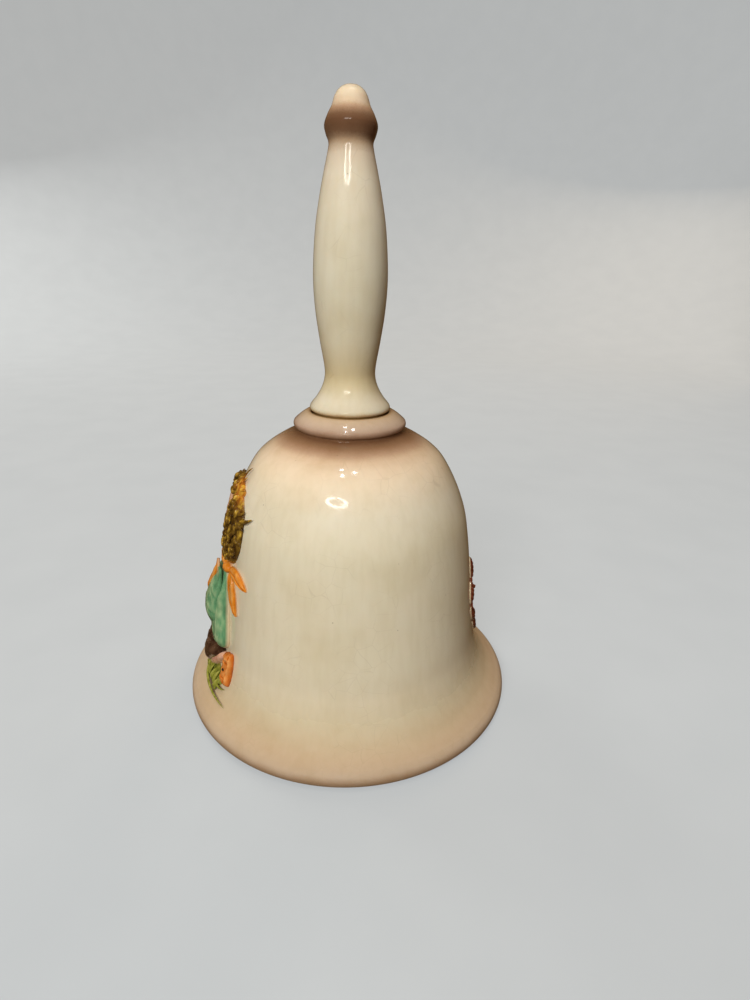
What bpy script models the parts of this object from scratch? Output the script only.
"""Porcelain table bell: a cast bell and handle, a painted relief, and a clapper on a short chain.

The bell stands on its foot ring at z = 0, +Z up, with its axis on Z. Every length below is in
millimetres, and MM turns it into Blender's metres.
"""
import math

import bmesh
import bpy
from mathutils import Vector

MM = 0.001
GAP = 0.35                 # clearance between neighbouring solids
MERGE = 0.01               # for modifiers that merge

# The bell and its handle.
RIM_RADIUS = 46.0
RIM_EDGE = 2.4             # radius of the rim's rounded edge
FOOT = (42.9, 44.2)        # inner and outer radius of the flat ring that the bell stands on
WALL = 3.2
CROWN_HOLE = 5.6
SEAT_Z = 78.6              # top of the crown, where the handle is luted
BEAD = (13.25, 77.6, 1.25)  # crown bead: radius of its centre line, height, section radius
HANDLE_BOTTOM = SEAT_Z + GAP
COLLAR_RADIUS = 10.25
TIP_Z = 151.0
BELL_STEPS = 48
HANDLE_STEPS = 32

# The hanger, chain and clapper.
PLUG_RADIUS = CROWN_HOLE - GAP
EYE_WIRE = 0.55            # radius of the hanger's wire
EYE_LOOP = 2.0             # radius of the hanger's loop, at the wire's centre
FIRST_PIVOT_Z = 68.6       # centre of the wire that the first link hangs on
LINK_WIRE = 0.5
LINK_BEND = 1.4            # radius of a link's round ends, at the wire's centre
LINK_PITCH = 6.0
LINK_COUNT = 3
BALL_Z = 23.0
BALL_RADIUS = 8.0
CRIMP_RADIUS = 1.7
CRIMP_LENGTH = 2.6

# The relief: its flat layout is wrapped round the wall at this radius.
RELIEF_RADIUS = 35.0
FIGURE_AZIMUTH = 180.0
WREATH_AZIMUTH = 0.0
UPPER_LAYER = 3.95         # height above the wall of pieces that lie on the jacket


# ---------------------------------------------------------------- scene and materials
def clear_scene():
    for obj in list(bpy.data.objects):
        bpy.data.objects.remove(obj, do_unlink=True)


def collection(name):
    made = bpy.data.collections.new(name)
    bpy.context.scene.collection.children.link(made)
    return made


def material(name, colour, roughness, metallic=0.0):
    made = bpy.data.materials.new(name)
    made.use_nodes = True
    shader = made.node_tree.nodes["Principled BSDF"]
    shader.inputs["Base Color"].default_value = (*colour, 1.0)
    shader.inputs["Roughness"].default_value = roughness
    shader.inputs["Metallic"].default_value = metallic
    made.diffuse_color = (*colour, 1.0)
    return made


def add_object(name, data, paint, group):
    obj = bpy.data.objects.new(name, data)
    obj.data.materials.append(paint)
    group.objects.link(obj)
    return obj


# ---------------------------------------------------------------- outlines
def blend_four(before, start, end, after, t):
    """Return the point at t from start to end on a smooth curve through four points."""
    return tuple(
        0.5 * (2 * b + (c - a) * t + (2 * a - 5 * b + 4 * c - d) * t * t
               + (3 * b - a - 3 * c + d) * t ** 3)
        for a, b, c, d in zip(before, start, end, after))


def smooth_line(points, steps):
    """Return an open smooth line through points, with steps points to each span."""
    ends = [points[0], *points, points[-1]]
    line = []
    for span in range(len(points) - 1):
        line += [blend_four(*ends[span:span + 4], step / steps) for step in range(steps)]
    return line + [points[-1]]


def loop_point(points, phase):
    """Return the point at phase (0 to 1) round a closed smooth outline through points."""
    count = len(points)
    place = (phase % 1.0) * count
    first = int(place) % count
    four = [points[(first + step) % count] for step in (-1, 0, 1, 2)]
    return blend_four(*four, place - int(place))


def arc(centre, radius, start, end, steps):
    """Return points on an arc; its angles are in degrees."""
    angles = [math.radians(start + (end - start) * step / steps) for step in range(steps + 1)]
    return [(centre[0] + radius * math.cos(a), centre[1] + radius * math.sin(a)) for a in angles]


# ---------------------------------------------------------------- turned shapes
def turned(name, profile, paint, group, steps, closed=False):
    """Turn a profile of (radius, height) round the Z axis; it runs down its outer side."""
    mesh = bpy.data.meshes.new(name)
    count = len(profile)
    edges = [(i, i + 1) for i in range(count - 1)]
    if closed:
        edges.append((count - 1, 0))
    mesh.from_pydata([(r * MM, 0.0, z * MM) for r, z in profile], edges, [])
    obj = add_object(name, mesh, paint, group)
    screw = obj.modifiers.new("Turn", "SCREW")
    screw.steps = steps
    screw.render_steps = steps
    screw.use_merge_vertices = True
    screw.merge_threshold = MERGE * MM
    screw.use_smooth_shade = True
    return obj


def wall_line():
    """Return the bell's outer wall from shoulder to rim, as (radius, height)."""
    return smooth_line([
        (14.2, 75.9), (16.2, 74.6), (18.9, 73.1), (22.0, 71.4), (24.9, 68.7), (27.1, 64.5), (29.3, 59.6),
        (31.3, 54.0), (32.6, 47.5), (33.6, 40.0), (34.5, 32.0), (35.4, 24.5), (36.3, 17.8),
        (37.9, 12.3), (40.4, 8.2), (43.2, 5.7), (44.6, 4.73)], 2)


def outside_radius(height):
    """Return the radius of the bell's outer wall at a height."""
    line = WALL_LINE
    for (r_high, z_high), (r_low, z_low) in zip(line, line[1:]):
        if z_low <= height <= z_high:
            return r_low + (r_high - r_low) * (height - z_low) / (z_high - z_low)
    return line[0][0] if height > line[0][1] else line[-1][0]


def build_bell(paint, group):
    bead_r, bead_z, bead_section = BEAD
    bead = arc((bead_r, bead_z), bead_section, 110.0, -60.0, 6)
    rim = arc((RIM_RADIUS - RIM_EDGE, RIM_EDGE), RIM_EDGE, 50.0, -75.0, 5)
    inside = smooth_line([
        (41.4, 1.5), (38.2, 5.2), (35.2, 10.0), (33.2, 17.0), (32.0, 25.0), (31.0, 34.0),
        (29.8, 44.0), (28.0, 55.0), (25.2, 62.8), (21.0, 68.2), (15.5, 71.9),
        (10.5, 74.2)], 1)
    profile = [(CROWN_HOLE, SEAT_Z), (11.2, SEAT_Z), (12.1, 78.4), *bead, *wall_line(), *rim,
               (FOOT[1], 0.0), (FOOT[0], 0.0), *inside, (CROWN_HOLE, SEAT_Z - WALL)]
    return turned("bell_body", profile, paint, group, BELL_STEPS, closed=True)


def build_handle(paint, group):
    finial = smooth_line([
        (1.6, 150.8), (2.85, 150.0), (3.6, 148.9), (4.0, 147.8), (4.35, 146.9), (5.2, 145.4),
        (5.9, 143.5), (5.6, 141.8), (5.0, 140.2)], 1)
    spindle = smooth_line([
        (5.2, 138.5), (6.15, 134.4), (7.2, 129.4), (8.3, 122.4), (8.88, 113.0), (8.5, 105.4),
        (7.5, 98.2), (6.45, 92.0), (6.4, 89.2), (7.2, 86.5), (8.55, 84.2)], 2)
    collar = [(9.6, 82.9), (10.1, 82.2), (COLLAR_RADIUS, 81.6), (10.05, 81.1), (9.7, 80.7),
              (9.45, 79.9), (9.5, HANDLE_BOTTOM)]
    bore = smooth_line([
        (CROWN_HOLE, 83.6), (4.1, 87.0), (3.7, 91.0), (4.8, 98.0), (6.0, 112.0), (5.0, 124.0),
        (3.2, 132.0), (1.6, 134.2)], 1)
    profile = [(0.0, TIP_Z), *finial, *spindle, *collar, (CROWN_HOLE, HANDLE_BOTTOM), *bore,
               (0.0, 134.8)]
    return turned("handle", profile, paint, group, HANDLE_STEPS)


def build_plug(paint, group, cutters):
    """Plaster in the crown hole and the handle's mouth, smeared out under the crown."""
    under = SEAT_Z - WALL - GAP
    profile = [(0.0, 82.8), (4.4, 82.8), (PLUG_RADIUS, 82.0), (PLUG_RADIUS, under),
               (7.2, under - 0.3), (7.0, 74.2), (5.2, 73.3), (0.0, 73.0)]
    plug = turned("anchor_plug", profile, paint, group, 24)
    shank = EYE_WIRE + GAP
    bpy.ops.mesh.primitive_cylinder_add(vertices=16, radius=shank * MM, depth=16.0 * MM,
                                        location=(0.0, 0.0, 73.0 * MM))
    cutter = bpy.context.object
    cutter.name = "plug_hole_cutter"
    for home in list(cutter.users_collection):
        home.objects.unlink(cutter)
    cutters.objects.link(cutter)
    cutter.hide_render = True
    cutter.display_type = "WIRE"
    bore = plug.modifiers.new("Shank hole", "BOOLEAN")
    bore.operation = "DIFFERENCE"
    bore.object = cutter
    return plug


# ---------------------------------------------------------------- wires
def wire(name, points, radius, paint, group, cyclic=False):
    """Bend a round wire along points; its origin stays at the world's."""
    curve = bpy.data.curves.new(name, "CURVE")
    curve.dimensions = "3D"
    curve.bevel_depth = radius * MM
    curve.bevel_resolution = 2
    curve.use_fill_caps = True
    spline = curve.splines.new("POLY")
    spline.points.add(len(points) - 1)
    for target, point in zip(spline.points, points):
        target.co = (point[0] * MM, point[1] * MM, point[2] * MM, 1.0)
    spline.use_cyclic_u = cyclic
    return add_object(name, curve, paint, group)


def place_on_pivot(obj, pivot_z):
    """Move the object's origin to its joint, which is on the bell's axis at pivot_z."""
    for spline in obj.data.splines:
        for point in spline.points:
            point.co.z -= pivot_z * MM
    obj.location.z = pivot_z * MM


def eye_path(pivot_z, bend, shank_end_z):
    """Return a wire eye round a pivot in the XZ plane, with a straight shank to shank_end_z."""
    way = -1.0 if shank_end_z < pivot_z else 1.0
    start = (0.0, pivot_z + way * (bend + 1.1))
    ring = arc((0.0, pivot_z), bend, -58.0, 222.0, 14)
    if way > 0.0:
        ring = [(x, 2.0 * pivot_z - z) for x, z in ring]
    path = [(0.0, shank_end_z), start, (0.12, start[1] - way * 0.45), *ring]
    return [(x, 0.0, z) for x, z in path]


def build_hanger(paint, group):
    loop_z = FIRST_PIVOT_Z + EYE_LOOP
    return wire("hanger_eye", eye_path(loop_z, EYE_LOOP, 80.0), EYE_WIRE, paint, group)


def build_links(paint, group):
    """Oval links that hang one from another, each a quarter turn from the one above."""
    for number in range(LINK_COUNT):
        pivot = FIRST_PIVOT_Z - number * LINK_PITCH
        top = arc((0.0, pivot), LINK_BEND, 0.0, 180.0, 8)
        bottom = arc((0.0, pivot - LINK_PITCH + LINK_BEND), LINK_BEND, 180.0, 360.0, 8)
        flat = [*top, *bottom]
        if number % 2 == 0:
            path = [(0.0, side, z) for side, z in flat]
        else:
            path = [(side, 0.0, z) for side, z in flat]
        link = wire(f"chain_link_{number + 1}", path, LINK_WIRE, paint, group, cyclic=True)
        place_on_pivot(link, pivot)


def build_clapper(brass, glaze, group):
    pivot = FIRST_PIVOT_Z - LINK_COUNT * LINK_PITCH
    crimp_z = BALL_Z - BALL_RADIUS - GAP - CRIMP_LENGTH / 2.0
    end_z = crimp_z - CRIMP_LENGTH / 2.0 - 0.5
    rod = wire("clapper_wire", eye_path(pivot, LINK_BEND, end_z), LINK_WIRE, brass, group)
    place_on_pivot(rod, pivot)
    hole = LINK_WIRE + GAP
    lip = math.degrees(math.asin(hole / BALL_RADIUS))
    ball = arc((0.0, BALL_Z), BALL_RADIUS, 90.0 - lip, lip - 90.0, 12)
    turned("clapper_ball", ball, glaze, group, 24, closed=True)
    half = CRIMP_LENGTH / 2.0
    crimp = [(hole, crimp_z + half), (CRIMP_RADIUS - 0.3, crimp_z + half),
             (CRIMP_RADIUS, crimp_z + half - 0.4), (CRIMP_RADIUS, crimp_z - half + 0.4),
             (CRIMP_RADIUS - 0.3, crimp_z - half), (hole, crimp_z - half)]
    turned("clapper_crimp", crimp, brass, group, 16, closed=True)


# ---------------------------------------------------------------- relief
def on_wall(across, up, out, azimuth):
    """Carry a point of the flat layout onto the bell's outer wall, along the wall's normal."""
    angle = math.radians(azimuth) + across / RELIEF_RADIUS
    slope = (outside_radius(up + 0.4) - outside_radius(up - 0.4)) / 0.8
    normal = Vector((1.0, -slope)).normalized()
    radius = outside_radius(up) + out * normal.x
    return Vector((radius * math.cos(angle), radius * math.sin(angle), up + out * normal.y)) * MM


def pad(name, outline, high, paint, group, azimuth=FIGURE_AZIMUTH, low=GAP, segments=14):
    """A domed piece on a closed outline of (across, up): flat at low, and high in the middle."""
    centre = [sum(axis) / len(outline) for axis in zip(*outline)]
    form = bmesh.new()
    bmesh.ops.create_uvsphere(form, u_segments=segments, v_segments=6, radius=1.0)
    for vert in form.verts:
        spread = min(1.0, math.hypot(vert.co.x, vert.co.y))
        phase = math.atan2(vert.co.y, vert.co.x) / math.tau
        edge = loop_point(outline, phase)
        across, up = (c + (e - c) * spread for c, e in zip(centre, edge))
        out = low + (high - low) * max(vert.co.z, 0.0)
        vert.co = on_wall(across, up, out, azimuth)
    mesh = bpy.data.meshes.new(name)
    form.to_mesh(mesh)
    form.free()
    mesh.shade_smooth()
    mesh.set_sharp_from_angle(angle=math.radians(50.0))
    return add_object(name, mesh, paint, group)


def build_head(paints, group):
    """A child's head turned to the left, its hair in two locks that frame the face."""
    pad("figure_face", [
        (8.6, 54.0), (8.2, 59.0), (4.6, 62.0), (-0.6, 62.2), (-4.6, 59.8), (-5.6, 54.6),
        (-4.4, 49.0), (-1.2, 45.4), (3.2, 44.6), (7.0, 47.6)], 2.6, paints["skin"], group)
    pad("hair_back", [
        (20.2, 55.5), (18.8, 59.6), (14.6, 61.0), (9.4, 61.0), (9.2, 55.0), (8.4, 49.0),
        (7.4, 45.2), (11.6, 44.2), (16.4, 44.8), (19.8, 50.2)], 2.7, paints["hair"], group)
    pad("hair_crown", [
        (17.4, 62.0), (15.4, 63.8), (12.8, 65.6), (10.2, 67.4), (5.0, 67.8), (-1.4, 67.0),
        (-5.8, 64.4), (-5.8, 60.4), (-3.0, 62.6), (2.4, 63.4), (7.0, 62.4), (12.0, 62.0)], 2.4,
        paints["hair"], group)


def build_neckerchief(paint, group):
    pad("neckerchief_collar", [
        (12.0, 42.0), (9.6, 43.3), (4.0, 43.6), (-0.4, 43.2), (-0.6, 41.6), (4.0, 40.9),
        (9.6, 40.8)], 2.4, paint, group)
    pad("neckerchief_knot", [
        (15.9, 41.6), (15.1, 43.0), (13.2, 43.1), (12.5, 41.8), (13.3, 40.4), (15.1, 40.3)],
        2.9, paint, group)
    pad("neckerchief_tail_1", [
        (7.9, 36.2), (8.4, 39.4), (6.4, 39.8), (5.0, 36.4), (4.5, 30.8), (6.1, 31.6)],
        4.9, paint, group, low=UPPER_LAYER)
    pad("neckerchief_tail_2", [
        (19.6, 33.4), (16.8, 39.4), (15.0, 39.4), (15.0, 35.0), (17.4, 31.6), (20.4, 29.4)],
        1.5, paint, group)
    pad("neckerchief_tail_3", [
        (24.0, 40.6), (20.4, 42.7), (16.8, 42.6), (16.4, 41.0), (19.6, 39.4), (25.2, 38.4)],
        1.5, paint, group)


def build_clothes(paints, group):
    pad("jacket", [
        (14.2, 29.0), (13.6, 35.6), (10.6, 39.7), (5.0, 40.2), (0.0, 40.0), (-2.8, 36.4),
        (-4.4, 29.4), (-5.6, 21.4), (-1.4, 18.9), (5.6, 18.9), (12.6, 19.4), (14.1, 23.0)],
        3.6, paints["jacket"], group, segments=18)
    pad("sleeve", [
        (13.6, 32.6), (13.4, 38.0), (11.2, 39.8), (9.2, 37.0), (8.5, 31.6), (5.0, 28.9),
        (-0.6, 27.8), (-3.6, 26.0), (-3.2, 22.7), (2.6, 23.4), (9.0, 25.0), (12.6, 27.6)],
        5.3, paints["jacket"], group, low=UPPER_LAYER, segments=18)
    pad("hand", [
        (-4.1, 24.3), (-4.6, 26.0), (-6.4, 26.6), (-8.0, 25.0), (-7.8, 22.8), (-6.0, 21.9),
        (-4.4, 22.7)], 5.0, paints["skin"], group, low=UPPER_LAYER)
    pad("trousers", [
        (9.5, 15.4), (9.6, 18.3), (4.6, 18.3), (-0.6, 18.3), (-5.8, 18.2), (-7.2, 16.4),
        (-7.0, 14.8), (-3.4, 14.4), (0.6, 14.8), (4.0, 13.0), (7.2, 12.0)],
        4.1, paints["trousers"], group)


def build_legs(paints, group):
    pad("rear_calf", [
        (14.7, 15.6), (14.6, 17.9), (12.4, 18.4), (10.3, 17.6), (10.0, 15.2), (9.4, 13.6),
        (10.6, 12.9), (13.0, 13.4)], 2.4, paints["skin"], group)
    pad("rear_shoe", [
        (20.2, 13.6), (20.0, 17.2), (17.6, 18.0), (15.6, 17.2), (15.3, 13.6), (15.5, 10.4),
        (17.4, 9.4), (19.8, 10.4)], 2.4, paints["shoe"], group)
    pad("front_calf", [
        (-4.0, 12.7), (-4.2, 13.9), (-6.0, 14.3), (-7.4, 13.2), (-7.2, 11.9), (-5.6, 11.5),
        (-4.3, 11.7)], 2.2, paints["skin"], group)
    pad("front_shoe", [
        (-3.4, 9.9), (-4.2, 10.9), (-7.6, 11.1), (-11.2, 10.5), (-12.4, 9.5), (-10.6, 8.8),
        (-6.6, 8.7), (-4.0, 8.8)], 2.2, paints["shoe"], group)


def build_grass(paint, group):
    pad("grass_tuft", [
        (14.4, 8.6), (14.2, 10.6), (12.4, 12.2), (10.2, 12.2), (8.6, 11.0), (5.6, 10.0),
        (0.6, 9.2), (-4.0, 8.2), (-4.2, 7.4), (1.0, 7.2), (8.0, 7.1), (13.0, 7.4)], 1.9, paint, group)
    pad("grass_blade", [
        (24.6, 8.6), (20.4, 8.2), (15.3, 8.6), (15.1, 7.3), (19.6, 6.9), (25.0, 7.8)],
        1.2, paint, group)


def build_wreath(paints, group):
    """Two rows of leaves that rise round a small flower, opposite the figure."""
    centre_up, half_width, half_height = 28.6, 8.8, 10.8
    leaf_length, leaf_width = 6.4, 3.0
    for side, side_name in ((1.0, "right"), (-1.0, "left")):
        for number in range(4):
            place = math.radians(-57.0 + 37.0 * number)
            across = half_width * math.cos(place)
            up = centre_up + half_height * math.sin(place)
            along = Vector((-half_width * math.sin(place), half_height * math.cos(place)))
            along.normalize()
            beside = Vector((along.y, -along.x))
            outline = []
            for step in range(8):
                turn = math.tau * step / 8.0
                point = (Vector((across, up)) + along * (leaf_length / 2.0) * math.sin(turn)
                         + beside * (leaf_width / 2.0) * math.cos(turn))
                outline.append((point.x, point.y))
            if side < 0.0:
                outline = [(-x, y) for x, y in reversed(outline)]
            pad(f"wreath_leaf_{side_name}_{number + 1}", outline, 1.6, paints["russet"], group,
                azimuth=WREATH_AZIMUTH, segments=10)
    petals = []
    for step in range(20):
        turn = math.tau * step / 20.0
        reach = 3.4 + 0.7 * math.cos(5.0 * turn)
        petals.append((reach * math.sin(-turn), centre_up + reach * math.cos(turn)))
    pad("wreath_flower", petals, 1.6, paints["russet"], group, azimuth=WREATH_AZIMUTH,
        segments=20)


# ---------------------------------------------------------------- assembly
WALL_LINE = wall_line()


def main():
    clear_scene()
    parts = collection("porcelain_bell")
    cutters = collection("cutters")
    glaze = material("cream_glaze", (0.76, 0.68, 0.53), 0.12)
    brass = material("brass_wire", (0.72, 0.55, 0.26), 0.3, 1.0)
    plaster = material("plaster", (0.78, 0.75, 0.69), 0.85)
    white = material("white_glaze", (0.83, 0.81, 0.76), 0.15)
    paints = {
        "skin": material("skin_paint", (0.72, 0.45, 0.34), 0.2),
        "hair": material("hair_paint", (0.16, 0.09, 0.03), 0.25),
        "jacket": material("jacket_paint", (0.1, 0.25, 0.13), 0.22),
        "scarf": material("scarf_paint", (0.7, 0.2, 0.03), 0.22),
        "trousers": material("trousers_paint", (0.035, 0.018, 0.014), 0.22),
        "shoe": material("shoe_paint", (0.66, 0.19, 0.05), 0.22),
        "grass": material("grass_paint", (0.2, 0.24, 0.04), 0.25),
        "russet": material("russet_paint", (0.25, 0.06, 0.03), 0.22),
    }
    build_bell(glaze, parts)
    build_handle(glaze, parts)
    build_plug(plaster, parts, cutters)
    build_hanger(brass, parts)
    build_links(brass, parts)
    build_clapper(brass, white, parts)
    build_head(paints, parts)
    build_neckerchief(paints["scarf"], parts)
    build_clothes(paints, parts)
    build_legs(paints, parts)
    build_grass(paints["grass"], parts)
    build_wreath(paints, parts)


main()
